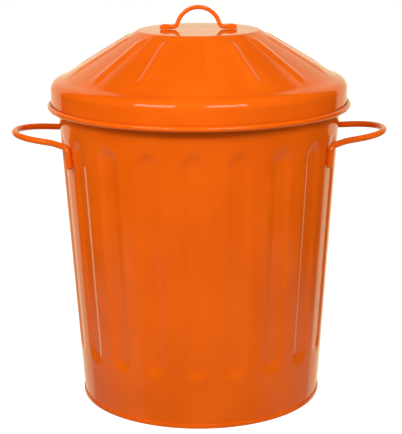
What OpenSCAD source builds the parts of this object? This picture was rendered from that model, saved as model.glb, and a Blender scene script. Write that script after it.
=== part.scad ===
// Round metal dustbin with a loose domed lid.
// Origin: centre of the floor plane under the bin. +Z up, +X towards the right-hand side handle.

/* [Can] */
// Outside radius of the wall, carried down to floor level
wall_base_r = 116.5; // [112:0.5:120]
// Outward lean of the wall, in degrees from upright
wall_lean = 3.7; // [3.2:0.1:4]
// Height of the middle of the rolled rim above the floor
rim_z = 307; // [300:1:314]
// Thickness of the sheet steel of the wall and the lid
sheet = 0.6; // [0.5:0.05:0.7]
// Radius of the rolled rim's round section
rim_r = 1.8; // [1.7:0.05:1.9]

/* [Flutes in the wall] */
// Number of flutes round the wall, an even one, so that the seam lies between two of them
flute_count = 20; // [12:2:20]
// Angle of the front flute from the front of the bin, in degrees
flute_turn = -2.5; // [-4:0.5:4]
// Depth of a flute at its middle
flute_depth = 1.8; // [1:0.1:2.2]
// Radius of the round bar that would fit a flute
flute_r = 72; // [60:1:80]
// Height of the lower end of the flutes
flute_low_z = 46; // [40:1:60]
// Height of the upper end of the flutes
flute_high_z = 266; // [250:1:270]

/* [Bottom] */
// Outside radius of the bottom seam
chime_r = 117.6; // [117.4:0.1:118]
// Height of the bottom seam
chime_h = 4; // [3:0.5:4.5]
// Thickness of the bottom pan's steel
pan_sheet = 0.8; // [0.7:0.05:0.9]
// Height of the pan's floor above the surface that the bin stands on
pan_z = 5.2; // [5:0.2:8]

/* [Side handles] */
// Radius of the side handles' wire
grip_wire_r = 3; // [2.5:0.1:3.2]
// Height of the side handles' loops at the middle of their round ends
grip_z = 256.8; // [252:0.2:262]
// Upward tilt of the loops, in degrees
grip_tilt = 5.5; // [0:0.5:8]
// Radius of a loop's round end, to the middle of the wire
grip_loop_r = 40; // [38:0.5:42]
// Distance from the bin's axis to the middle of a loop's round end
grip_loop_x = 138; // [137:0.5:141]
// Outward splay of a loop's arms where they leave the round end, in degrees
grip_splay = 20; // [15:1:24]
// Outward splay of the arms where they meet the wall, in degrees
grip_end_splay = 48; // [44:1:50]
// Radius of the bend from a loop's arm into its leg
grip_bend_r = 7; // [5:0.5:7]
// Height of the rounded tips of the legs
grip_foot_z = 235.5; // [228:0.5:237]

/* [Lid] */
// Sideways gap between the rim and the lid's skirt
skirt_gap = 1.6; // [1.5:0.1:2]
// Height of the lid's skirt, from the bead to the shoulder
skirt_h = 15.9; // [12:0.1:18]
// Outside radius of the rolled shoulder
shoulder_r = 9.8; // [9.5:0.1:11]
// Height of the flat top above the middle of the shoulder
lid_rise = 54.4; // [48:0.2:58]
// Slope of the panels, in degrees from level
lid_slope = 31; // [29:0.5:32]
// How far the panels lie under the top of the shoulder's roll
panel_drop = 1.3; // [0.8:0.1:1.5]
// Radius that rounds the edge of the flat top
crown_r = 5; // [3:0.5:6]
// Radius of the rolled bead's round section
bead_r = 2.65; // [2.55:0.05:2.7]

/* [Ridges on the lid] */
// Number of ridges
ridge_count = 14; // [8:2:16]
// Height of a ridge over the panels
ridge_h = 2.4; // [1.5:0.1:2.8]
// Half the width of a ridge where it meets the panels
ridge_half_w = 4.8; // [4:0.1:6]
// Distance from the lid's axis to a ridge's upper end
ridge_in_r = 64; // [62:1:72]
// Distance from the lid's axis to a ridge's lower end
ridge_out_r = 131; // [120:1:131]

/* [Lid handle] */
// Radius of the lid handle's wire
bail_wire_r = 2; // [1.8:0.05:2.1]
// Height of the top of the arch over its straight feet, to the middle of the wire
bail_h = 18.6; // [16:0.2:20]
// Radius of the arch, to the middle of the wire
bail_arch_r = 20.5; // [19:0.5:22]
// Radius of the bend from the arch into a foot
bail_bend_r = 5; // [4:0.5:6]
// Distance from the middle of the handle to the cut end of a foot
bail_end_x = 36.5; // [36:0.5:40]
// Distance from the middle of the handle to the middle of a clip
clip_x = 31; // [30.5:0.5:32]
// Width of a clip along the wire
clip_w = 6; // [5:0.5:7]
// Thickness of a clip's strip
clip_t = 0.8; // [0.6:0.1:1]
// Length of each flat foot of a clip
clip_foot = 6; // [5:0.5:8]

/* [Hidden] */
$fn = 128;
paint = [0.93, 0.37, 0.05];
bare_steel = [0.62, 0.62, 0.60];
// Slack between a wire and the roll of sheet around it
wire_slack = 0.15;
// Gap between the resting lid and the rim, so that the two stay separate solids
seat_gap = 0.35;
// Gap between the side handles' legs and the wall, which the welds bridge
weld_gap = 0.1;
// Clearance of the lid handle's feet in their clips
clip_play = 0.08;
// Thickness of a sleeve over a joint in a wire, and its reach to each side
sleeve_t = 0.02;
sleeve_reach = 0.2;
// Steps in a rounded corner of the lid's outline
arc_steps = 8;

// Outside radius of the plain wall at a height
function wall_r(z) = wall_base_r + z * tan(wall_lean);
// Level thickness of the leaning sheet
sheet_across = sheet / cos(wall_lean);
// The roll starts a hair inside the wall's inner face, so the two cross cleanly
rim_c = wall_r(rim_z) - sheet_across + rim_r - 0.03;
rim_out = rim_c + rim_r;

// Direction of each flute from the front of the bin
flute_pitch = 360 / flute_count;
flute_angles = [for (i = [0:flute_count - 1]) flute_turn + i * flute_pitch];
// Length over which a flute's end runs out
flute_runout = sqrt(2 * flute_r * flute_depth);
// Angle from a direction to the nearest flute's middle
function flute_off(angle) =
    let (turns = (angle - flute_turn) / flute_pitch) abs(turns - round(turns)) * flute_pitch;
// Distance from the axis to the outer face at a direction and a height between the flutes' ends
function skin_r(angle, z) =
    let (c = wall_r(z) - flute_depth + flute_r, across = c * sin(flute_off(angle)))
    abs(across) >= flute_r ? wall_r(z)
    : min(wall_r(z), c * cos(flute_off(angle)) - sqrt(flute_r * flute_r - across * across));

skirt_r = rim_out + skirt_gap + sheet;
shoulder_c = skirt_r - shoulder_r;
shoulder_reach = shoulder_r - sheet - rim_r - seat_gap;
shoulder_z = rim_z - sqrt(pow(shoulder_reach, 2) - pow(rim_c - shoulder_c, 2));
bead_z = shoulder_z - skirt_h;
bead_c = skirt_r + 0.85;
// The skirt runs down into the solid crest of the bead
skirt_low_z = bead_z + bead_r - sheet + 0.05;
top_z = shoulder_z + lid_rise;
// Distance from the middle of the shoulder to the panels' outer face
panel_off = shoulder_r - panel_drop;

bail_axis_z = top_z + seat_gap + bail_wire_r;
bail_arch_z = bail_h - bail_arch_r;
bail_bend_x = sqrt(pow(bail_arch_r + bail_bend_r, 2) - pow(bail_bend_r - bail_arch_z, 2));
// Angle above level at which the arch meets its bends
bail_meet = asin((bail_bend_r - bail_arch_z) / (bail_arch_r + bail_bend_r));
clip_bore_r = bail_wire_r + clip_play;

// Bar with round ends, from the origin up to length, its two end balls centred there
module round_bar(r, length) {
    rotate_extrude()
        intersection() {
            union() {
                circle(r);
                translate([-r, 0]) square([2 * r, length]);
                translate([0, length]) circle(r);
            }
            translate([0, -r]) square([r, length + 2 * r]);
        }
}

// Ring of wire or of rolled sheet around the axis
module ring(centre_r, z, r) {
    rotate_extrude() translate([centre_r, z]) circle(r);
}

// Bend in a wire, from the +X direction round by angle. A hair-thin sleeve over each of its
// ends takes the next stretch of wire, so that the stretches fuse into one piece.
module bend(bend_r, wire_r, angle) {
    rotate_extrude(angle = angle) translate([bend_r, 0]) circle(wire_r);
    for (end = [0, angle])
        rotate([0, 0, end])
            translate([bend_r, 0, 0])
                rotate([90, 0, 0]) cylinder(h = 2 * sleeve_reach, r = wire_r + sleeve_t, center = true);
}

// Filled can, depth under the outer face, with its flutes pressed in
module fluted_can(depth, low_z, high_z) {
    across = depth / cos(wall_lean);
    bar_low = (flute_low_z + flute_runout) / cos(wall_lean);
    bar_high = (flute_high_z - flute_runout) / cos(wall_lean);
    difference() {
        translate([0, 0, low_z])
            cylinder(h = high_z - low_z, r1 = wall_r(low_z) - across, r2 = wall_r(high_z) - across);
        for (a = flute_angles)
            rotate([0, 0, a])
                translate([0, -wall_base_r, 0])
                    rotate([wall_lean, 0, 0])
                        translate([0, flute_depth - flute_r, bar_low])
                            round_bar(flute_r + depth, bar_high - bar_low);
    }
}

// Folded seam that closes the wall at the back, standing proud of it
module lock_seam() {
    seam_w = 7;
    seam_proud = 1;
    low_z = chime_h + 1;
    high_z = rim_z - 6;
    rotate([0, 0, flute_turn + 180 + flute_pitch / 2])
        intersection() {
            difference() {
                translate([0, 0, low_z])
                    cylinder(h = high_z - low_z, r1 = wall_r(low_z) + seam_proud, r2 = wall_r(high_z) + seam_proud);
                translate([0, 0, low_z - 1])
                    cylinder(h = high_z - low_z + 2, r = wall_base_r - 4);
            }
            translate([-seam_w / 2, -160, 0]) cube([seam_w, 80, high_z]);
        }
}

module body_shell() {
    color(paint)
    difference() {
        union() {
            fluted_can(0, pan_sheet, rim_z);
            ring(rim_c, rim_z, rim_r);
            lock_seam();
        }
        fluted_can(sheet, -1, rim_z + rim_r + 1);
        ring(rim_c, rim_z, rim_r - sheet);
    }
}

module rim_wire() {
    color(bare_steel) ring(rim_c, rim_z, rim_r - sheet - wire_slack);
}

// Pressed bottom whose edge folds round the lower edge of the wall
module bottom_pan() {
    leg_out = wall_r(pan_sheet) - sheet_across - 0.05;
    leg_in = leg_out - pan_sheet;
    fold_in = wall_r(chime_h) + 0.05;
    edge = 0.4;
    step_r = 80;
    step_w = 3;
    step_h = 1.5;
    floor_top = pan_z + pan_sheet;
    color(paint)
    rotate_extrude()
        polygon([
            [0, floor_top + step_h],
            [step_r - step_w, floor_top + step_h],
            [step_r, floor_top],
            [leg_out, floor_top],
            [leg_out, pan_sheet],
            [fold_in, pan_sheet],
            [fold_in, chime_h],
            [chime_r, chime_h],
            [chime_r, edge],
            [chime_r - edge, 0],
            [leg_in + edge, 0],
            [leg_in, edge],
            [leg_in, pan_z],
            [step_r, pan_z],
            [step_r - step_w, pan_z + step_h],
            [0, pan_z + step_h]
        ]);
}

// Arm of a loop, seen square to the loop's plane, from the middle of its round end: where it leaves
// the round end, where it starts and ends its sideways bend, and how its leg's bend starts
grip_arm = 10;
grip_sweep_r = 20;
arm_1 = grip_loop_r * [sin(grip_splay), cos(grip_splay)];
arm_2 = arm_1 + grip_arm * [-cos(grip_splay), sin(grip_splay)];
sweep_at = arm_2 + grip_sweep_r * [sin(grip_splay), cos(grip_splay)];
arm_3 = sweep_at - grip_sweep_r * [sin(grip_end_splay), cos(grip_end_splay)];

// The same arm in the bin's frame: level direction and fall where it meets the leg's bend
arm_way = atan2(sin(grip_end_splay), cos(grip_end_splay) * cos(grip_tilt));
arm_fall = asin(cos(grip_end_splay) * sin(grip_tilt));
arm_3_xy = [grip_loop_x + arm_3[0] * cos(grip_tilt), arm_3[1]];
arm_3_z = grip_z + arm_3[0] * sin(grip_tilt);

// Distance of a leg's middle from the bin's axis at a height
function leg_r(z) = wall_r(z) + weld_gap + grip_wire_r;
// Top of a leg, just under its bend: the last stretch of the arm runs on until the leg meets the wall
leg_z = arm_3_z - grip_bend_r - 0.7;
leg_way = arm_3_xy[0] * cos(arm_way) - arm_3_xy[1] * sin(arm_way);
leg_run = leg_way - sqrt(pow(leg_way, 2) - pow(norm(arm_3_xy), 2) + pow(leg_r(leg_z), 2));
leg_xy = arm_3_xy + leg_run * [-cos(arm_way), sin(arm_way)];
leg_lean = atan(tan(wall_lean) / cos(arm_way - atan2(leg_xy[1], leg_xy[0])));
arm_end = (leg_run - grip_bend_r * (cos(leg_lean) - sin(arm_fall))) / cos(arm_fall);
arm_4_z = arm_3_z - arm_end * sin(arm_fall);
leg_top_z = arm_4_z - grip_bend_r * (cos(arm_fall) - sin(leg_lean));
// Middle of a leg at a height, seen from above
function leg_at(z) = leg_xy + (leg_top_z - z) * tan(leg_lean) * [-cos(arm_way), sin(arm_way)];

// One bent wire: a loop whose two splayed arms turn down into legs on the wall
module side_handle() {
    foot_z = grip_foot_z + grip_wire_r;
    color(paint) {
        translate([grip_loop_x, 0, grip_z])
            rotate([0, -grip_tilt, 0]) {
                rotate([0, 0, grip_splay - 90])
                    bend(grip_loop_r, grip_wire_r, 180 - 2 * grip_splay);
                for (side = [0, 1])
                    mirror([0, side, 0]) {
                        translate([arm_1[0], arm_1[1], 0])
                            rotate([0, 90, 180 - grip_splay]) cylinder(h = grip_arm, r = grip_wire_r);
                        translate([sweep_at[0], sweep_at[1], 0])
                            rotate([0, 0, 270 - grip_end_splay])
                                bend(grip_sweep_r, grip_wire_r, grip_end_splay - grip_splay);
                        translate([arm_3[0], arm_3[1], 0])
                            rotate([0, 90, 180 - grip_end_splay]) cylinder(h = arm_end, r = grip_wire_r);
                    }
            }
        for (side = [0, 1])
            mirror([0, side, 0])
                translate([leg_xy[0], leg_xy[1], leg_top_z])
                    rotate([0, 0, 180 - arm_way]) {
                        translate([-grip_bend_r * cos(leg_lean), 0, -grip_bend_r * sin(leg_lean)])
                            rotate([90, 0, 0])
                                rotate([0, 0, leg_lean])
                                    bend(grip_bend_r, grip_wire_r, 90 - arm_fall - leg_lean);
                        rotate([0, 180 - leg_lean, 0]) {
                            leg_length = (leg_top_z - foot_z) / cos(leg_lean);
                            cylinder(h = leg_length, r = grip_wire_r);
                            translate([0, 0, leg_length]) sphere(grip_wire_r);
                        }
                    }
    }
}

// Weld spots between the legs of one handle and the wall; side is 1 at the right and -1 at the left
module handle_welds(side) {
    spot_r = 2;
    bite = 0.4;
    color(paint)
    for (end = [-1, 1], z = [grip_foot_z + 4.5, grip_foot_z + 10.5]) {
        at = leg_at(z);
        angle = side * (90 + end * atan2(at[1], at[0]));
        low_r = skin_r(angle, z) - bite;
        rotate([0, 0, angle])
            translate([0, -low_r, z])
                rotate([90, 0, 0])
                    cylinder(h = norm(at) - grip_wire_r / 2 - low_r, r = spot_r);
    }
}

// Half outline of the filled lid, depth under its outer face and down to low_z
function lid_outline(depth, low_z) =
    let (
        roll = shoulder_r - depth,
        roll_end = 90 - lid_slope + acos((panel_off - depth) / roll),
        crown_c = shoulder_c + (panel_off - crown_r - (lid_rise - crown_r) * cos(lid_slope)) / sin(lid_slope),
        crown = crown_r - depth
    )
    concat(
        [[0, low_z], [skirt_r - depth, low_z]],
        [for (i = [0:arc_steps]) let (a = roll_end * i / arc_steps)
            [shoulder_c + roll * cos(a), shoulder_z + roll * sin(a)]],
        [for (i = [0:arc_steps]) let (a = 90 - lid_slope * (1 - i / arc_steps))
            [crown_c + crown * cos(a), top_z - crown_r + crown * sin(a)]],
        [[0, top_z - depth]]
    );

// Filled lid, depth under its outer face, with its ridges
module ridged_lid(depth, low_z) {
    bar_r = (pow(ridge_half_w, 2) + pow(ridge_h, 2)) / (2 * ridge_h);
    bar_off = panel_off + ridge_h - bar_r;
    low_r = ridge_out_r - ridge_half_w * cos(lid_slope);
    high_r = ridge_in_r + ridge_half_w * cos(lid_slope);
    rise = (shoulder_c + bar_off * sin(lid_slope) - low_r) / cos(lid_slope);
    union() {
        rotate_extrude() polygon(lid_outline(depth, low_z));
        for (i = [0:ridge_count - 1])
            rotate([0, 0, i * 360 / ridge_count])
                translate([0, -low_r, shoulder_z + bar_off * cos(lid_slope) + rise * sin(lid_slope)])
                    rotate([lid_slope - 90, 0, 0])
                        round_bar(bar_r - depth, (low_r - high_r) / cos(lid_slope));
    }
}

module lid_shell() {
    slot_w = 0.7;
    color(paint) {
        difference() {
            ridged_lid(0, skirt_low_z);
            ridged_lid(sheet, skirt_low_z - 1);
        }
        // Bead, open along the line where its edge curls back to the skirt
        rotate_extrude()
            difference() {
                translate([bead_c, bead_z]) circle(bead_r);
                translate([bead_c, bead_z]) circle(bead_r - sheet);
                translate([skirt_r, bead_z + bead_r - 2 * sheet]) square([slot_w, 2 * sheet]);
            }
    }
}

module lid_bead_wire() {
    color(bare_steel) ring(bead_c, bead_z, bead_r - sheet - wire_slack);
}

// Strip bent over the wire, with a flat foot on the lid to the front and to the back
module handle_clip() {
    crown_out = clip_bore_r + clip_t;
    axis_h = bail_axis_z - top_z;
    color(paint)
    translate([-clip_w / 2, 0, 0])
        rotate([90, 0, 90])
            linear_extrude(clip_w)
                difference() {
                    union() {
                        translate([0, bail_axis_z]) circle(crown_out);
                        translate([-crown_out, top_z]) square([2 * crown_out, axis_h]);
                        translate([-crown_out - clip_foot, top_z])
                            square([2 * (crown_out + clip_foot), clip_t]);
                    }
                    translate([0, bail_axis_z]) circle(clip_bore_r);
                    translate([-clip_bore_r, top_z - crown_out])
                        square([2 * clip_bore_r, crown_out + axis_h]);
                }
}

// Spot welds that hold the clips' feet down on the lid
module clip_spot_welds() {
    spot_r = 1.5;
    spot_y = clip_bore_r + clip_t + clip_foot / 2;
    color(paint)
    for (x = [-clip_x, clip_x], y = [-spot_y, spot_y])
        translate([x, y, top_z - sheet / 2])
            cylinder(h = sheet / 2 + clip_t + 0.15, r = spot_r);
}

// Wire handle: an arch between two straight feet that lie in the clips
module lid_handle() {
    color(paint)
    translate([0, 0, bail_axis_z])
        rotate([90, 0, 0]) {
            translate([0, bail_arch_z])
                rotate([0, 0, bail_meet])
                    rotate_extrude(angle = 180 - 2 * bail_meet)
                        translate([bail_arch_r, 0]) circle(bail_wire_r);
            for (side = [0, 1])
                mirror([side, 0, 0]) {
                    translate([bail_bend_x, bail_bend_r])
                        rotate([0, 0, 180 + bail_meet])
                            bend(bail_bend_r, bail_wire_r, 90 - bail_meet);
                    translate([bail_bend_x, 0, 0])
                        rotate([0, 90, 0]) cylinder(h = bail_end_x - bail_bend_x, r = bail_wire_r);
                }
        }
}

body_shell();
rim_wire();
bottom_pan();
mirror([1, 0, 0]) side_handle();  // left_side_handle
side_handle();  // right_side_handle
handle_welds(-1);  // left_handle_welds
handle_welds(1);  // right_handle_welds
lid_shell();
lid_bead_wire();
translate([-clip_x, 0, 0]) handle_clip();  // left_handle_clip
translate([clip_x, 0, 0]) handle_clip();  // right_handle_clip
clip_spot_welds();
lid_handle();
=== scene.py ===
"""Round metal dustbin with a loose ridged lid, in glossy orange enamel. Metres, +Z up."""
import math

import bmesh
import bpy
from mathutils import Matrix, Vector


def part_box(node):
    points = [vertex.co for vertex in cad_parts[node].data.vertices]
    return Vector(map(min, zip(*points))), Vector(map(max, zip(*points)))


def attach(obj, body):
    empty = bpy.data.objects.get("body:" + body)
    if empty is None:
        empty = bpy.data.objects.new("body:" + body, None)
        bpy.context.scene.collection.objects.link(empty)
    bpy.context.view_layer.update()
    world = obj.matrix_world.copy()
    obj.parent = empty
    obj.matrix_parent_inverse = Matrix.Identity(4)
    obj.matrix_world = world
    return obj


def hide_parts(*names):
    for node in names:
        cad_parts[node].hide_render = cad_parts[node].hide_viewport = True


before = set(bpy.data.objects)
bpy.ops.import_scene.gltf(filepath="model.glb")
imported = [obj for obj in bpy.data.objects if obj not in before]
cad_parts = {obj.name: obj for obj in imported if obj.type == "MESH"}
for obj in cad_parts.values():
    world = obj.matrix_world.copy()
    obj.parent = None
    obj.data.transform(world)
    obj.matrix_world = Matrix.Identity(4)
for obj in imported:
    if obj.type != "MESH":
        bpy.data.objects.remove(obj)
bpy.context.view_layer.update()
scene = bpy.context.scene

# ---------------------------------------------------------------------------
# Studio: the camera stands in front of the bin, a little over its lid, and
# looks down at it through a long lens. Nothing here is part of the bin.
# ---------------------------------------------------------------------------
camera_place = Vector((0, -1.30375, 0.50425))
camera_pitch = math.radians(14.233)
camera_yaw = math.radians(0.049)
camera_roll = math.radians(-0.428)
sensor_width = 36
lens = 113.62

camera_data = bpy.data.cameras.new("camera")
camera_data.sensor_width = sensor_width
camera_data.lens = lens
camera = bpy.data.objects.new("camera", camera_data)
camera.matrix_world = (
    Matrix.Translation(camera_place)
    @ Matrix.Rotation(-camera_yaw, 4, "Z")
    @ Matrix.Rotation(math.radians(90) - camera_pitch, 4, "X")
    @ Matrix.Rotation(camera_roll, 4, "Z")
)
scene.collection.objects.link(camera)
scene.camera = camera
scene.view_settings.view_transform = "Standard"


class Value:
    """A node socket in a sum. The operators add Math nodes, and node() adds any other node."""

    def __init__(self, tree, socket=None):
        self.tree = tree
        self.socket = socket

    def node(self, kind, settings=None, inputs=None, output=0):
        made = self.tree.nodes.new(kind)
        for name, setting in (settings or {}).items():
            setattr(made, name, setting)
        for name, item in (inputs or {}).items():
            if isinstance(item, Value):
                self.tree.links.new(item.socket, made.inputs[name])
            else:
                made.inputs[name].default_value = item
        return Value(self.tree, made.outputs[output]) if made.outputs else None

    def maths(self, operation, *others):
        return self.node("ShaderNodeMath", {"operation": operation}, dict(enumerate((self, *others))))

    def smooth(self, low, high):
        """0 below low, 1 above high, and a soft step between them."""
        ends = {"Value": self, "From Min": low, "From Max": high}
        return self.node("ShaderNodeMapRange", {"interpolation_type": "SMOOTHSTEP"}, ends)

    def __add__(self, other):
        return self.maths("ADD", other)

    def __sub__(self, other):
        return self.maths("SUBTRACT", other)

    def __rsub__(self, other):
        return self.node("ShaderNodeMath", {"operation": "SUBTRACT"}, {0: other, 1: self})

    def __mul__(self, other):
        return self.maths("MULTIPLY", other)

    def __truediv__(self, other):
        return self.maths("DIVIDE", other)

    __radd__ = __add__
    __rmul__ = __mul__


# Floor: a wide pale table that the bin stands on. It glows a little, as a lit white sweep does.
floor_half = 30
floor_data = bpy.data.meshes.new("floor")
corners = [(-floor_half, -floor_half, 0), (floor_half, -floor_half, 0)]
corners += [(floor_half, floor_half, 0), (-floor_half, floor_half, 0)]
floor_data.from_pydata(corners, [], [(0, 1, 2, 3)])
floor = bpy.data.objects.new("floor", floor_data)
scene.collection.objects.link(floor)
floor.visible_glossy = False
floor.visible_diffuse = False

pale = bpy.data.materials.new("pale_table")
pale.use_nodes = True
pale.node_tree.nodes.clear()
start = Value(pale.node_tree)
speckle = start.node("ShaderNodeTexNoise", {}, {"Scale": 6.0, "Detail": 3.0})
matt = start.node("ShaderNodeBsdfDiffuse", {}, {"Color": (0.35, 0.35, 0.35, 1)})
glow = start.node("ShaderNodeEmission", {}, {"Color": (1, 1, 1, 1), "Strength": 0.93 + 0.02 * speckle})
both = start.node("ShaderNodeAddShader", {}, {0: matt, 1: glow})
start.node("ShaderNodeOutputMaterial", {}, {"Surface": both})
floor_data.materials.append(pale)


def area_light(name, place, aim, size, power, in_gloss):
    """Soft box at place, turned towards aim. in_gloss says whether the paint mirrors it."""
    data = bpy.data.lights.new(name, "AREA")
    data.shape = "RECTANGLE"
    data.size, data.size_y = size
    data.energy = power
    light = bpy.data.objects.new(name, data)
    light.location = place
    light.rotation_euler = (Vector(aim) - Vector(place)).to_track_quat("-Z", "Y").to_euler()
    light.visible_camera = False
    light.visible_glossy = in_gloss
    scene.collection.objects.link(light)


lid_middle = (0, 0, 0.30)
bin_middle = (0, 0, 0.20)
box_size = (0.88, 0.50)
box_power = 16.5
area_light("left_box", (-0.88, -1.21, 1.31), lid_middle, box_size, box_power, True)
area_light("right_box", (0.56, -1.38, 1.31), lid_middle, box_size, box_power, True)
area_light("front_fill", (0, -2.6, 0.7), bin_middle, (2.8, 1.4), 12, False)
for side, name in ((1, "right_fill"), (-1, "left_fill")):
    area_light(name, (side * 2.1, -0.77, 0.8), bin_middle, (1.4, 1.2), 14, False)

# Surroundings that the gloss mirrors: a warm white sweep behind the bin, a pale table below and a
# dim room elsewhere
sweep_side = math.cos(math.radians(131))
sweep_top = math.sin(math.radians(41))
table_edge = math.sin(math.radians(-21))
sweep_strength = 1.12
table_beside = 0.48
table_in_front = 0.19
room_beside = 0.02
room_in_front = 0.07
world = bpy.data.worlds.new("studio")
scene.world = world
world.use_nodes = True
world.node_tree.nodes.clear()
start = Value(world.node_tree)
direction = start.node("ShaderNodeTexCoord", {}, {}, "Generated")
east, north, up = (start.node("ShaderNodeSeparateXYZ", {}, {0: direction}, i) for i in range(3))
level = (east * east + north * north).maths("SQRT")
facing = (0 - north) / (level + 0.0001)
behind = 1 - facing.smooth(sweep_side - 0.03, sweep_side + 0.03)
sweep = behind * (1 - up.smooth(sweep_top - 0.04, sweep_top + 0.04))
table = 1 - up.smooth(table_edge - 0.03, table_edge + 0.03)
front = facing.smooth(0.45, 0.62)
room = room_beside + (room_in_front - room_beside) * front
table_glow = (table_beside - (table_beside - table_in_front) * front) * table
mirrored = room.maths("MAXIMUM", table_glow) * (1 - sweep)
sweep_glow = sweep_strength * sweep
white = start.node("ShaderNodeBackground", {}, {"Color": (1, 1, 1, 1), "Strength": 1.0})
dim = start.node("ShaderNodeBackground", {}, {"Color": (1, 1, 1, 1), "Strength": mirrored})
warm = start.node("ShaderNodeBackground", {}, {"Color": (1, 0.90, 0.60, 1), "Strength": sweep_glow})
seen = start.node("ShaderNodeAddShader", {}, {0: dim, 1: warm})
is_camera = start.node("ShaderNodeLightPath", {}, {}, "Is Camera Ray")
sky = start.node("ShaderNodeMixShader", {}, {0: is_camera, 1: seen, 2: white})
start.node("ShaderNodeOutputWorld", {}, {"Surface": sky})

# ---------------------------------------------------------------------------
# Wall of the can: one sheet of 0.6 mm steel, rolled to a cone and closed by a
# folded seam at the back. Flutes are pressed into it, and its top edge is
# rolled outwards over a wire. Enamelled orange inside and out.
# ---------------------------------------------------------------------------
sheet = 0.0006
wall_base_r = 0.1165
wall_lean = math.radians(3.7)
wall_low_z = 0.0012
flute_low_z = 0.046
flute_high_z = 0.266
flute_runout = 0.0161
flute_half_w = 0.0128
flute_depth = 0.0018
flute_flat = 0.30
flute_pitch = 18.0
flute_turn = -2.5
seam_half_w = 0.0035
seam_proud = 0.001
seam_low_z = 0.005
seam_high_z = 0.301
wire_slack = 0.00015
wall_columns = 640


def wire_ring(node):
    """Radius and height of a ring-shaped wire's centreline, and the wire's own radius."""
    low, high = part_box(node)
    wire_r = (high.z - low.z) / 2
    return high.x - wire_r, low.z + wire_r, wire_r


def arc(centre, radius, start, end, steps):
    """Points along an arc in the (distance from the axis, height) plane, angles in degrees."""
    angles = [math.radians(start + (end - start) * i / steps) for i in range(steps + 1)]
    return [(centre[0] + radius * math.cos(a), centre[1] + radius * math.sin(a)) for a in angles]


def spread(low, high, steps):
    return [low + (high - low) * i / steps for i in range(steps)]


rim_c, rim_z, rim_wire_r = wire_ring("rim_wire")
rim_mid_r = rim_wire_r + wire_slack + sheet / 2
flute_end = 0.022
levels = spread(wall_low_z, flute_low_z, 4) + spread(flute_low_z, flute_low_z + flute_end, 11)
levels += spread(flute_low_z + flute_end, flute_high_z - flute_end, 9)
levels += spread(flute_high_z - flute_end, flute_high_z, 11) + spread(flute_high_z, rim_z, 6)
wall_line = [(wall_base_r + z * math.tan(wall_lean) - sheet / 2, z) for z in levels]
wall_line += arc((rim_c, rim_z), rim_mid_r, 180, -130, 26)


def revolve(name, line, columns, shape=None, thickness=0.0):
    """Turns a line of (distance, height) points round the axis, in a Geometry Nodes tree.

    shape(angle, distance, height) gives the pressed-in pattern, as an offset in distance and in
    height; the angle is in degrees from the front, positive to the right.
    """
    data = bpy.data.meshes.new(name)
    data.from_pydata([(r, 0, z) for r, z in line], [(i, i + 1) for i in range(len(line) - 1)], [])
    piece = bpy.data.objects.new(name, data)
    scene.collection.objects.link(piece)

    tree = bpy.data.node_groups.new(name + "_turned", "GeometryNodeTree")
    face = tree.interface
    face.new_socket("Outline", in_out="INPUT", socket_type="NodeSocketGeometry")
    face.new_socket("Columns", in_out="INPUT", socket_type="NodeSocketInt")
    face.new_socket("Surface", in_out="OUTPUT", socket_type="NodeSocketGeometry")
    start = Value(tree)
    outline = start.node("NodeGroupInput", {}, {}, "Outline")
    count = start.node("NodeGroupInput", {}, {}, "Columns")
    rows = len(line)
    grid = start.node(
        "GeometryNodeMeshGrid",
        {},
        {"Size X": 1.0, "Size Y": 1.0, "Vertices X": count, "Vertices Y": rows},
    )
    place = start.node("GeometryNodeInputPosition")
    along, across = (start.node("ShaderNodeSeparateXYZ", {}, {0: place}, i) for i in range(2))
    row = ((across + 0.5) * (rows - 1)).maths("ROUND")
    sample = start.node(
        "GeometryNodeSampleIndex",
        {"data_type": "FLOAT_VECTOR"},
        {
            "Geometry": outline,
            "Value": place,
            "Index": start.node("FunctionNodeFloatToInt", {}, {0: row}),
        },
    )
    distance = start.node("ShaderNodeSeparateXYZ", {}, {0: sample}, 0)
    height = start.node("ShaderNodeSeparateXYZ", {}, {0: sample}, 2)
    degrees = along * 360
    if shape:
        out, rise = shape(degrees, distance, height)
        distance = distance + out
        height = height + rise
    turn = degrees * (math.pi / 180)
    point = start.node(
        "ShaderNodeCombineXYZ",
        {},
        {0: distance * turn.maths("SINE"), 1: 0 - distance * turn.maths("COSINE"), 2: height},
    )
    moved = start.node("GeometryNodeSetPosition", {}, {"Geometry": grid, "Position": point})
    closed = start.node("GeometryNodeMergeByDistance", {}, {"Geometry": moved, "Distance": 0.000005})
    whole = start.node("GeometryNodeRealizeInstances", {}, {"Geometry": closed})
    painted = start.node("GeometryNodeSetMaterial", {}, {"Geometry": whole, "Material": enamel})
    start.node("NodeGroupOutput", {}, {"Surface": painted})

    turned = piece.modifiers.new("turned", "NODES")
    turned.node_group = tree
    key = next(s.identifier for s in face.items_tree if s.name == "Columns")
    turned[key] = columns + 1
    if thickness:
        wall = piece.modifiers.new("sheet", "SOLIDIFY")
        wall.thickness = thickness
        wall.offset = 0
        wall.use_even_offset = True
    return plain_mesh(piece)


def plain_mesh(piece, sharp=35):
    """Settles a piece's modifiers into a plain mesh with its normals outwards."""
    graph = bpy.context.evaluated_depsgraph_get()
    settled = bpy.data.meshes.new_from_object(piece.evaluated_get(graph))
    piece.modifiers.clear()
    piece.data = settled
    settled.name = piece.name
    work = bmesh.new()
    work.from_mesh(settled)
    bmesh.ops.recalc_face_normals(work, faces=work.faces)
    work.to_mesh(settled)
    work.free()
    settled.shade_smooth()
    settled.set_sharp_from_angle(angle=math.radians(sharp))
    return piece


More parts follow.
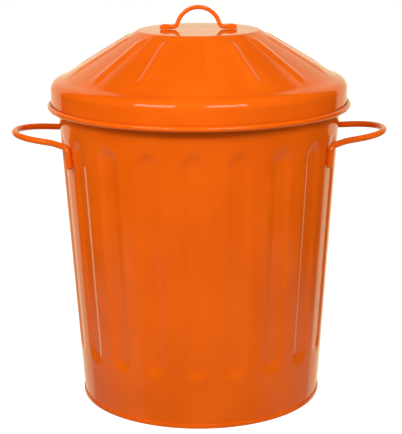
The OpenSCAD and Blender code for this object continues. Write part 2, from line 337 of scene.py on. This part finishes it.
def orange_enamel():
    """High-gloss stove enamel: fine orange peel, faint waves of the sheet, a trace of handling."""
    material = bpy.data.materials.new("orange_enamel")
    material.use_nodes = True
    material.node_tree.nodes.clear()
    start = Value(material.node_tree)
    place = start.node("ShaderNodeTexCoord", {}, {}, "Object")
    cloud = start.node("ShaderNodeTexNoise", {}, {"Vector": place, "Scale": 14.0, "Detail": 4.0})
    pigment = start.node("ShaderNodeTexNoise", {}, {"Vector": place, "Scale": 900.0, "Detail": 2.0})
    body = start.node(
        "ShaderNodeMix",
        {"data_type": "RGBA"},
        {0: cloud.smooth(0.35, 0.65), 6: (0.80, 0.112, 0.0025, 1), 7: (0.87, 0.128, 0.0040, 1)},
        2,
    )
    colour = start.node(
        "ShaderNodeMix",
        {"data_type": "RGBA"},
        {0: pigment.smooth(0.62, 0.80) * 0.25, 6: body, 7: (0.72, 0.085, 0.002, 1)},
        2,
    )
    handled = start.node("ShaderNodeTexNoise", {}, {"Vector": place, "Scale": 38.0, "Detail": 6.0})
    roughness = 0.045 + 0.05 * handled.smooth(0.45, 0.75) + 0.012 * pigment
    waves = start.node("ShaderNodeTexNoise", {}, {"Vector": place, "Scale": 22.0, "Detail": 1.0})
    peel = start.node("ShaderNodeTexNoise", {}, {"Vector": place, "Scale": 430.0, "Detail": 1.5})
    relief = waves * 0.00022 + peel * 0.0000075
    bump = start.node("ShaderNodeBump", {}, {"Height": relief, "Strength": 1.0, "Distance": 1.0})
    paint = start.node(
        "ShaderNodeBsdfPrincipled",
        {},
        {
            "Base Color": colour,
            "Roughness": roughness,
            "Specular IOR Level": 0.22,
            "Normal": bump,
        },
    )
    start.node("ShaderNodeOutputMaterial", {}, {"Surface": paint})
    return material


enamel = orange_enamel()


def flutes(angle, distance, height):
    """Flutes pressed inwards, and the folded seam standing proud at the back."""
    nearest = ((angle - flute_turn) / flute_pitch).maths("ROUND")
    aside = (angle - flute_turn - nearest * flute_pitch) * distance * (math.pi / 180)
    above = height - (flute_high_z - flute_runout)
    below = flute_low_z + flute_runout - height
    past = above.maths("MAXIMUM", below).maths("MAXIMUM", 0.0)
    past = past * (flute_half_w / flute_runout)
    off = (aside * aside + past * past).maths("SQRT")
    pressed = 1 - off.smooth(flute_flat * flute_half_w, flute_half_w)

    round_back = (angle - flute_turn - flute_pitch / 2).maths("WRAP", 360.0, 0.0) - 180
    from_seam = (round_back * distance * (math.pi / 180)).maths("ABSOLUTE")
    folded = 1 - from_seam.smooth(seam_half_w - 0.0008, seam_half_w + 0.0004)
    folded = folded * height.smooth(seam_low_z, seam_low_z + 0.0015)
    folded = folded * (1 - height.smooth(seam_high_z - 0.002, seam_high_z))
    return folded * seam_proud - pressed * flute_depth, 0.0


wall = revolve("wall", wall_line, wall_columns, flutes, sheet)
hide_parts("body_shell")
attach(wall, "can")

# ---------------------------------------------------------------------------
# Wires inside the rim and inside the lid's bead: plain drawn steel, rolled in
# with the edges and hardly ever seen. Their shape is right as it stands.
# ---------------------------------------------------------------------------


def drawn_steel():
    """Galvanised wire, dull grey with a fine mottle."""
    material = bpy.data.materials.new("drawn_steel")
    material.use_nodes = True
    material.node_tree.nodes.clear()
    start = Value(material.node_tree)
    place = start.node("ShaderNodeTexCoord", {}, {}, "Object")
    mottle = start.node("ShaderNodeTexNoise", {}, {"Vector": place, "Scale": 260.0, "Detail": 5.0})
    colour = start.node(
        "ShaderNodeMix",
        {"data_type": "RGBA"},
        {0: mottle.smooth(0.3, 0.7), 6: (0.34, 0.34, 0.33, 1), 7: (0.52, 0.52, 0.50, 1)},
        2,
    )
    bump = start.node("ShaderNodeBump", {}, {"Height": mottle * 0.00003, "Strength": 1.0, "Distance": 1.0})
    metal = start.node(
        "ShaderNodeBsdfPrincipled",
        {},
        {"Base Color": colour, "Metallic": 1.0, "Roughness": 0.30 + 0.15 * mottle, "Normal": bump},
    )
    start.node("ShaderNodeOutputMaterial", {}, {"Surface": metal})
    return material


steel = drawn_steel()
for name in ("rim_wire", "lid_bead_wire"):
    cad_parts[name].data.materials.clear()
    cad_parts[name].data.materials.append(steel)

# ---------------------------------------------------------------------------
# Bottom pan: a pressed disc of 0.8 mm steel with a stiffening step. Its edge
# turns down and folds round the foot of the wall, and the bin stands on it.
# ---------------------------------------------------------------------------
pan_sheet = 0.0008
pan_step_r = 0.080
pan_step_h = 0.0015
pan_step_in = pan_step_r - 0.003
pan_mid_r = 0.04
pan_columns = 256
pan_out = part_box("bottom_pan")[1].x
fold_top = 0.004
pan_under = 0.0052
leg_out = wall_base_r - sheet
leg_in = leg_out - pan_sheet
fold_in = wall_base_r + 0.0003


def rounded(line, radius, steps=3):
    """A closed outline with each of its corners turned into a short curve."""
    result = []
    for i, corner in enumerate(line):
        before, after = Vector(line[i - 1]), Vector(line[(i + 1) % len(line)])
        middle = Vector(corner)
        reach = min(radius, (before - middle).length * 0.45, (after - middle).length * 0.45)
        first = middle + (before - middle).normalized() * reach
        last = middle + (after - middle).normalized() * reach
        for k in range(steps + 1):
            t = k / steps
            result.append(tuple((1 - t) ** 2 * first + 2 * t * (1 - t) * middle + t * t * last))
    return result


pan_top = pan_under + pan_sheet
turned_line = [
    (pan_step_in, pan_top + pan_step_h),
    (pan_step_r, pan_top),
    (leg_out, pan_top),
    (leg_out, pan_sheet),
    (fold_in, pan_sheet),
    (fold_in, fold_top),
    (pan_out, fold_top),
    (pan_out, 0),
    (leg_in, 0),
    (leg_in, pan_under),
    (pan_step_r, pan_under),
    (pan_step_in, pan_under + pan_step_h),
]
pan_line = [(0, pan_top + pan_step_h), (pan_mid_r, pan_top + pan_step_h)] + rounded(turned_line, 0.0006)
pan_line += [(pan_mid_r, pan_under + pan_step_h), (0, pan_under + pan_step_h)]
pan = revolve("pan", pan_line, pan_columns)
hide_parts("bottom_pan")
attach(pan, "can")

# ---------------------------------------------------------------------------
# Side handles: each is one length of 6 mm wire, bent to a loop whose two arms
# splay and turn down into legs. The legs lie on the wall and are welded to it.
# ---------------------------------------------------------------------------
grip_wire_r = 0.003
grip_z = 0.2568
grip_tilt = math.radians(5.5)
grip_loop_r = 0.040
grip_splay = 20
grip_end_splay = 48
grip_arm = 0.010
grip_sweep_r = 0.020
grip_bend_r = 0.007
grip_foot_z = 0.2355
weld_gap = 0.0001
leg_drop = 0.0007
grip_loop_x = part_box("right_side_handle")[1].x - grip_wire_r - grip_loop_r * math.cos(grip_tilt)


def wall_r(z):
    return wall_base_r + z * math.tan(wall_lean)


def leg_line():
    """Top point of a leg, its level direction towards the bin, its lean, and the arm's fall."""
    start, end = math.radians(grip_splay), math.radians(grip_end_splay)
    u = grip_loop_r * math.sin(start) - grip_arm * math.cos(start)
    u += grip_sweep_r * (math.sin(start) - math.sin(end))
    v = grip_loop_r * math.cos(start) + grip_arm * math.sin(start)
    v += grip_sweep_r * (math.cos(start) - math.cos(end))
    arm = Vector((grip_loop_x + u * math.cos(grip_tilt), v, grip_z + u * math.sin(grip_tilt)))
    inward = Vector((-math.cos(end) * math.cos(grip_tilt), math.sin(end), 0)).normalized()
    fall = math.asin(math.cos(end) * math.sin(grip_tilt))
    along = -(arm.x * inward.x + arm.y * inward.y)
    far = wall_r(arm.z - grip_bend_r - leg_drop) + weld_gap + grip_wire_r
    run = along - math.sqrt(along**2 - arm.x**2 - arm.y**2 + far**2)
    top = Vector((arm.x, arm.y, 0)) + run * inward
    between = math.atan2(inward.y, -inward.x) - math.atan2(top.y, top.x)
    lean = math.atan(math.tan(wall_lean) / math.cos(between))
    arm_end = (run - grip_bend_r * (math.cos(lean) - math.sin(fall))) / math.cos(fall)
    top.z = arm.z - arm_end * math.sin(fall) - grip_bend_r * (math.cos(fall) - math.sin(lean))
    return top, inward, lean, fall


leg_top, leg_inward, leg_lean, arm_fall = leg_line()


def leg_at(z):
    """Middle of a leg at a height."""
    place = leg_top + (leg_top.z - z) * math.tan(leg_lean) * leg_inward
    return Vector((place.x, place.y, z))


def wire_piece(name, line, wire_r, sides=28, tip=0.5):
    """Round wire along a line of points, in a Geometry Nodes tree. tip rounds its cut ends."""
    ends = [math.sin(math.radians(90 * k / 6)) for k in range(7)]
    run = tip * wire_r
    first = (line[1] - line[0]).normalized()
    last = (line[-1] - line[-2]).normalized()
    steps = [run * (1 - math.cos(math.radians(90 * k / 6))) for k in range(6)]
    points = [line[0] + first * s for s in steps] + [line[0] + first * run]
    points += line[1:-1]
    points += [line[-1] - last * run] + [line[-1] - last * s for s in reversed(steps)]
    wide = [1 - tip + tip * e for e in ends] + [1.0] * (len(line) - 2)
    wide += [1 - tip + tip * e for e in reversed(ends)]
    data = bpy.data.meshes.new(name)
    data.from_pydata(points, [(i, i + 1) for i in range(len(points) - 1)], [])
    thick = data.attributes.new("thick", "FLOAT", "POINT")
    thick.data.foreach_set("value", [wire_r * w for w in wide])
    piece = bpy.data.objects.new(name, data)
    scene.collection.objects.link(piece)

    tree = bpy.data.node_groups.new(name + "_drawn", "GeometryNodeTree")
    tree.interface.new_socket("Line", in_out="INPUT", socket_type="NodeSocketGeometry")
    tree.interface.new_socket("Sides", in_out="INPUT", socket_type="NodeSocketInt")
    tree.interface.new_socket("Wire", in_out="OUTPUT", socket_type="NodeSocketGeometry")
    start = Value(tree)
    bent = start.node("NodeGroupInput", {}, {}, "Line")
    count = start.node("NodeGroupInput", {}, {}, "Sides")
    radius = start.node("GeometryNodeInputNamedAttribute", {"data_type": "FLOAT"}, {"Name": "thick"})
    curve = start.node("GeometryNodeMeshToCurve", {}, {"Mesh": bent})
    section = start.node("GeometryNodeCurvePrimitiveCircle", {}, {"Resolution": count, "Radius": 1.0})
    drawn = start.node(
        "GeometryNodeCurveToMesh",
        {},
        {"Curve": curve, "Profile Curve": section, "Scale": radius, "Fill Caps": True},
    )
    whole = start.node("GeometryNodeRealizeInstances", {}, {"Geometry": drawn})
    painted = start.node("GeometryNodeSetMaterial", {}, {"Geometry": whole, "Material": enamel})
    start.node("NodeGroupOutput", {}, {"Wire": painted})
    bent_wire = piece.modifiers.new("drawn", "NODES")
    bent_wire.node_group = tree
    key = next(s.identifier for s in tree.interface.items_tree if s.name == "Sides")
    bent_wire[key] = sides
    return plain_mesh(piece, 50)


def side_handle_line(side):
    """Middle line of one handle, from leg tip to leg tip; side is 1 at the right, -1 at the left."""
    half = [leg_at(z) for z in spread(grip_foot_z, leg_top.z, 8)]
    for k in range(11):
        a = leg_lean + (math.pi / 2 - arm_fall - leg_lean) * k / 10
        across = grip_bend_r * (math.cos(a) - math.cos(leg_lean))
        half.append(leg_top + across * leg_inward)
        half[-1].z += grip_bend_r * (math.sin(a) - math.sin(leg_lean))
    start = math.radians(grip_splay)
    far_u = grip_loop_r * math.sin(start) - grip_arm * math.cos(start)
    far_v = grip_loop_r * math.cos(start) + grip_arm * math.sin(start)
    sweep = [
        (
            far_u + grip_sweep_r * (math.sin(start) - math.sin(a)),
            far_v + grip_sweep_r * (math.cos(start) - math.cos(a)),
        )
        for a in (math.radians(grip_end_splay + (grip_splay - grip_end_splay) * k / 12) for k in range(13))
    ]
    loop = [
        (grip_loop_r * math.cos(a), grip_loop_r * math.sin(a))
        for a in (math.radians((90 - grip_splay) * (1 - k / 32)) for k in range(33))
    ]
    for u, v in sweep + loop:
        half.append(Vector((grip_loop_x + u * math.cos(grip_tilt), v, grip_z + u * math.sin(grip_tilt))))
    whole = half + [Vector((p.x, -p.y, p.z)) for p in reversed(half[:-1])]
    return [Vector((side * p.x, p.y, p.z)) for p in whole]


for side, name in ((1, "right"), (-1, "left")):
    grip = wire_piece(name + "_grip", side_handle_line(side), grip_wire_r)
    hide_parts(name + "_side_handle")
    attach(grip, "can")

# ---------------------------------------------------------------------------
# Handle welds: two small beads under each leg, where it was welded to the wall
# before the bin was enamelled. The enamel has flowed over them.
# ---------------------------------------------------------------------------
weld_heights = (grip_foot_z + 0.0045, grip_foot_z + 0.0105)
weld_half = (0.0024, 0.0012, 0.0026)


def blobs(name, places, rings=10):
    """The same small shape at each place, from a Geometry Nodes tree. A place is a matrix."""
    data = bpy.data.meshes.new(name)
    data.from_pydata([m.to_translation() for m in places], [], [])
    turn = data.attributes.new("turn", "FLOAT_VECTOR", "POINT")
    turn.data.foreach_set("vector", [v for m in places for v in m.to_euler()])
    piece = bpy.data.objects.new(name, data)
    scene.collection.objects.link(piece)
    tree = bpy.data.node_groups.new(name + "_set", "GeometryNodeTree")
    tree.interface.new_socket("Spots", in_out="INPUT", socket_type="NodeSocketGeometry")
    tree.interface.new_socket("Half size", in_out="INPUT", socket_type="NodeSocketVector")
    tree.interface.new_socket("Beads", in_out="OUTPUT", socket_type="NodeSocketGeometry")
    start = Value(tree)
    spots = start.node("NodeGroupInput", {}, {}, "Spots")
    half = start.node("NodeGroupInput", {}, {}, "Half size")
    turned = start.node("GeometryNodeInputNamedAttribute", {"data_type": "FLOAT_VECTOR"}, {"Name": "turn"})
    points = start.node("GeometryNodeMeshToPoints", {}, {"Mesh": spots})
    ball = start.node("GeometryNodeMeshUVSphere", {}, {"Segments": 20, "Rings": rings, "Radius": 1.0})
    way = start.node("FunctionNodeEulerToRotation", {}, {0: turned})
    each = start.node(
        "GeometryNodeInstanceOnPoints",
        {},
        {"Points": points, "Instance": ball, "Rotation": way, "Scale": half},
    )
    whole = start.node("GeometryNodeRealizeInstances", {}, {"Geometry": each})
    painted = start.node("GeometryNodeSetMaterial", {}, {"Geometry": whole, "Material": enamel})
    start.node("NodeGroupOutput", {}, {"Beads": painted})
    beads = piece.modifiers.new("set", "NODES")
    beads.node_group = tree
    return piece, beads, next(s.identifier for s in tree.interface.items_tree if s.name == "Half size")


for side, name in ((1, "right"), (-1, "left")):
    places = []
    for z in weld_heights:
        for end in (-1, 1):
            at = leg_at(z)
            angle = math.atan2(end * at.y, side * at.x)
            spot = Matrix.Translation((wall_r(z) * math.cos(angle), wall_r(z) * math.sin(angle), z))
            places.append(spot @ Matrix.Rotation(angle, 4, "Z") @ Matrix.Rotation(wall_lean, 4, "Y"))
    welds, beads, key = blobs(name + "_welds", places)
    beads[key] = (weld_half[1], weld_half[0], weld_half[2])
    plain_mesh(welds)
    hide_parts(name + "_handle_welds")
    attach(welds, "can")

# ---------------------------------------------------------------------------
# Lid: one pressing of 0.6 mm steel. A flat disc, sloping panels between
# raised ridges, a rolled shoulder and a skirt, whose edge is curled outwards
# round a wire into a bead.
# ---------------------------------------------------------------------------
lid_slope = math.radians(31)
shoulder_r = 0.0098
crown_r = 0.005
panel_drop = 0.0013
skirt_over_bead = 0.00085
skirt_h = 0.0159
ridge_count = 14
ridge_h = 0.0012
ridge_half_w = 0.0068
ridge_in_r = 0.064
ridge_out_r = 0.131
ridge_widen_r = 0.108
ridge_fade_r = 0.112
ridge_end_r = 0.130
shoulder_start = 68
lid_columns = 560

bead_c, bead_z, bead_wire_r = wire_ring("lid_bead_wire")
bead_mid_r = bead_wire_r + wire_slack + sheet / 2
top_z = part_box("lid_shell")[1].z
skirt_mid = bead_c - skirt_over_bead - sheet / 2
shoulder_c = skirt_mid + sheet / 2 - shoulder_r
shoulder_z = bead_z + skirt_h


def slope_point(off, down):
    """Point at off from the shoulder's middle, square to the slope, and down along the slope."""
    r = shoulder_c + off * math.sin(lid_slope) + down * math.cos(lid_slope)
    return r, shoulder_z + off * math.cos(lid_slope) - down * math.sin(lid_slope)


def curve_through(first, first_way, last, last_way, steps):
    """Smooth bend between two points with a heading at each, without its two ends."""
    a, d = Vector(first), Vector(last)
    reach = (d - a).length / 3
    b = a + Vector(first_way).normalized() * reach
    c = d - Vector(last_way).normalized() * reach
    ts = [k / steps for k in range(1, steps)]
    return [
        tuple((1 - t) ** 3 * a + 3 * t * (1 - t) ** 2 * b + 3 * t * t * (1 - t) * c + t**3 * d)
        for t in ts
    ]


panel_off = shoulder_r - panel_drop - sheet / 2
crown_c = shoulder_c + (
    shoulder_r - panel_drop - crown_r - (top_z - shoulder_z - crown_r) * math.cos(lid_slope)
) / math.sin(lid_slope)
crown = arc((crown_c, top_z - crown_r), crown_r - sheet / 2, 90, 90 - math.degrees(lid_slope), 6)
crease_r = shoulder_c + 0.0002
panel_top_r = crown[-1][0]
panel_rows = 27
panel_low = (crease_r - 0.0045 - slope_point(panel_off, 0)[0]) / math.cos(lid_slope)
panel_high = (panel_top_r - slope_point(panel_off, 0)[0]) / math.cos(lid_slope)
panel = [
    slope_point(panel_off, panel_high + (panel_low - panel_high) * k / panel_rows)
    for k in range(1, panel_rows + 1)
]
shoulder = arc((shoulder_c, shoulder_z), shoulder_r - sheet / 2, shoulder_start, 0, 14)
slope_way = (math.cos(lid_slope), -math.sin(lid_slope))
shoulder_turn = math.radians(shoulder_start)
shoulder_way = (math.sin(shoulder_turn), -math.cos(shoulder_turn))
valley = curve_through(panel[-1], slope_way, shoulder[0], shoulder_way, 6)
skirt_end = (skirt_mid, bead_z + 0.0052)
bead = arc((bead_c, bead_z), bead_mid_r, 150, 452, 30)
tuck = curve_through(skirt_end, (0, -1), bead[0], (-0.5, -0.866), 4)
lid_line = [(0, top_z - sheet / 2)]
lid_line += [(crown_c * k / 5, top_z - sheet / 2) for k in range(1, 5)]
lid_line += crown + panel + valley + shoulder
lid_line += [(skirt_mid, shoulder_z - 0.003), (skirt_mid, shoulder_z - 0.008), skirt_end]
lid_line += tuck + bead


def ridges(angle, distance, height):
    """Ridges raised along the slope, their round upper ends near the crown, fading at the shoulder."""
    pitch = 360 / ridge_count
    nearest = (angle / pitch).maths("ROUND") * pitch
    aside = (angle - nearest) * distance * (math.pi / 180)
    widen = distance.smooth(ridge_widen_r, ridge_out_r)
    half_w = ridge_half_w * (1 + 0.5 * widen)
    past = (ridge_in_r + ridge_half_w * math.cos(lid_slope) - distance) * (1 / math.cos(lid_slope))
    past = past.maths("MAXIMUM", 0.0)
    off = (aside * aside + past * past).maths("SQRT") / half_w
    raised = (1 - off.smooth(0.0, 1.0)) * (1 - distance.smooth(ridge_fade_r, ridge_end_r) * 0.999)
    on_lid = height.smooth(shoulder_z, shoulder_z + 0.002)
    lift = raised * on_lid * ridge_h
    return lift * math.sin(lid_slope), lift * math.cos(lid_slope)


lid = revolve("lid_pressing", lid_line, lid_columns, ridges, sheet)
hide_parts("lid_shell")
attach(lid, "lid")

# ---------------------------------------------------------------------------
# Clips: two short steel straps bent over the lid handle's feet. Each has a
# flat foot to the front and one to the back, spot-welded to the lid.
# ---------------------------------------------------------------------------
clip_t = 0.0008
clip_bend_r = 0.0008
clip_play = 0.00008
clip_flat = 0.002
bail_low, bail_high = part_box("lid_handle")
bail_wire_r = 0.002
bail_axis_z = bail_low.z + bail_wire_r


def clip(name, node):
    """Strap with its edges eased, as a bent strip that is given its thickness."""
    low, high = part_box(node)
    bore = bail_wire_r + clip_play
    over = bore + clip_t / 2
    foot_z = top_z + clip_t / 2
    bend = clip_bend_r + clip_t / 2
    side = [(-high.y, foot_z), (-over - bend - clip_flat, foot_z)]
    turn = [
        (-over - bend + bend * math.sin(a), foot_z + bend * (1 - math.cos(a)))
        for a in (math.radians(90 * k / 6) for k in range(7))
    ]
    dome = [
        (-over * math.cos(a), bail_axis_z + over * math.sin(a))
        for a in (math.radians(180 * k / 20) for k in range(21))
    ]
    half = side + turn
    strip = half + dome + [(-y, z) for y, z in reversed(half)]
    xs = [low.x + (high.x - low.x) * k / 6 for k in range(7)]
    verts = [(x, y, z) for y, z in strip for x in xs]
    wide = len(xs)
    faces = [
        (i * wide + j, i * wide + j + 1, (i + 1) * wide + j + 1, (i + 1) * wide + j)
        for i in range(len(strip) - 1)
        for j in range(wide - 1)
    ]
    data = bpy.data.meshes.new(name)
    data.from_pydata(verts, [], faces)
    data.materials.append(enamel)
    piece = bpy.data.objects.new(name, data)
    scene.collection.objects.link(piece)
    thick = piece.modifiers.new("strip", "SOLIDIFY")
    thick.thickness = clip_t
    thick.offset = 0
    thick.use_even_offset = True
    ease = piece.modifiers.new("eased_edges", "BEVEL")
    ease.width = 0.0002
    ease.segments = 3
    ease.limit_method = "ANGLE"
    ease.angle_limit = math.radians(50)
    plain_mesh(piece)
    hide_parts(node)
    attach(piece, "lid")
    return piece


for name in ("left", "right"):
    clip(name + "_clip", name + "_handle_clip")

# ---------------------------------------------------------------------------
# Spot welds on the clips' feet: low round domes that the welding electrodes
# leave, covered by the enamel.
# ---------------------------------------------------------------------------
spot_low, spot_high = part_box("clip_spot_welds")
spot_r = 0.0015
spot_places = [
    Matrix.Translation((x, y, top_z + clip_t))
    for x in (spot_low.x + spot_r, spot_high.x - spot_r)
    for y in (spot_low.y + spot_r, spot_high.y - spot_r)
]
spots, beads, key = blobs("spot_welds", spot_places)
beads[key] = (spot_r, spot_r, 0.00015)
plain_mesh(spots)
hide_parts("clip_spot_welds")
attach(spots, "lid")

# ---------------------------------------------------------------------------
# Lid handle: one length of 4 mm wire bent to an arch. Its straight feet turn
# in the clips, and their cut ends show just outside them.
# ---------------------------------------------------------------------------
bail_end_x = bail_high.x
bail_arch_r = 0.0205
bail_bend_r = 0.005
arch_rise = bail_high.z - bail_wire_r - bail_axis_z - bail_arch_r
bend_x = math.sqrt((bail_arch_r + bail_bend_r) ** 2 - (bail_bend_r - arch_rise) ** 2)
meet = math.asin((bail_bend_r - arch_rise) / (bail_arch_r + bail_bend_r))
foot = [(x, 0) for x in spread(bail_end_x, bend_x, 5)]
bend = [
    (bend_x + bail_bend_r * math.cos(a), bail_bend_r + bail_bend_r * math.sin(a))
    for a in (-math.pi / 2 - (math.pi / 2 - meet) * k / 12 for k in range(13))
]
arch = [
    (bail_arch_r * math.cos(a), arch_rise + bail_arch_r * math.sin(a))
    for a in (meet + (math.pi / 2 - meet) * k / 24 for k in range(1, 25))
]
half = foot + bend + arch
handle_line = [Vector((x, 0, bail_axis_z + z)) for x, z in half]
handle_line += [Vector((-p.x, 0, p.z)) for p in reversed(handle_line[:-1])]
handle = wire_piece("wire_handle", handle_line, bail_wire_r, sides=24, tip=0.35)
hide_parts("lid_handle")
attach(handle, "lid_handle")
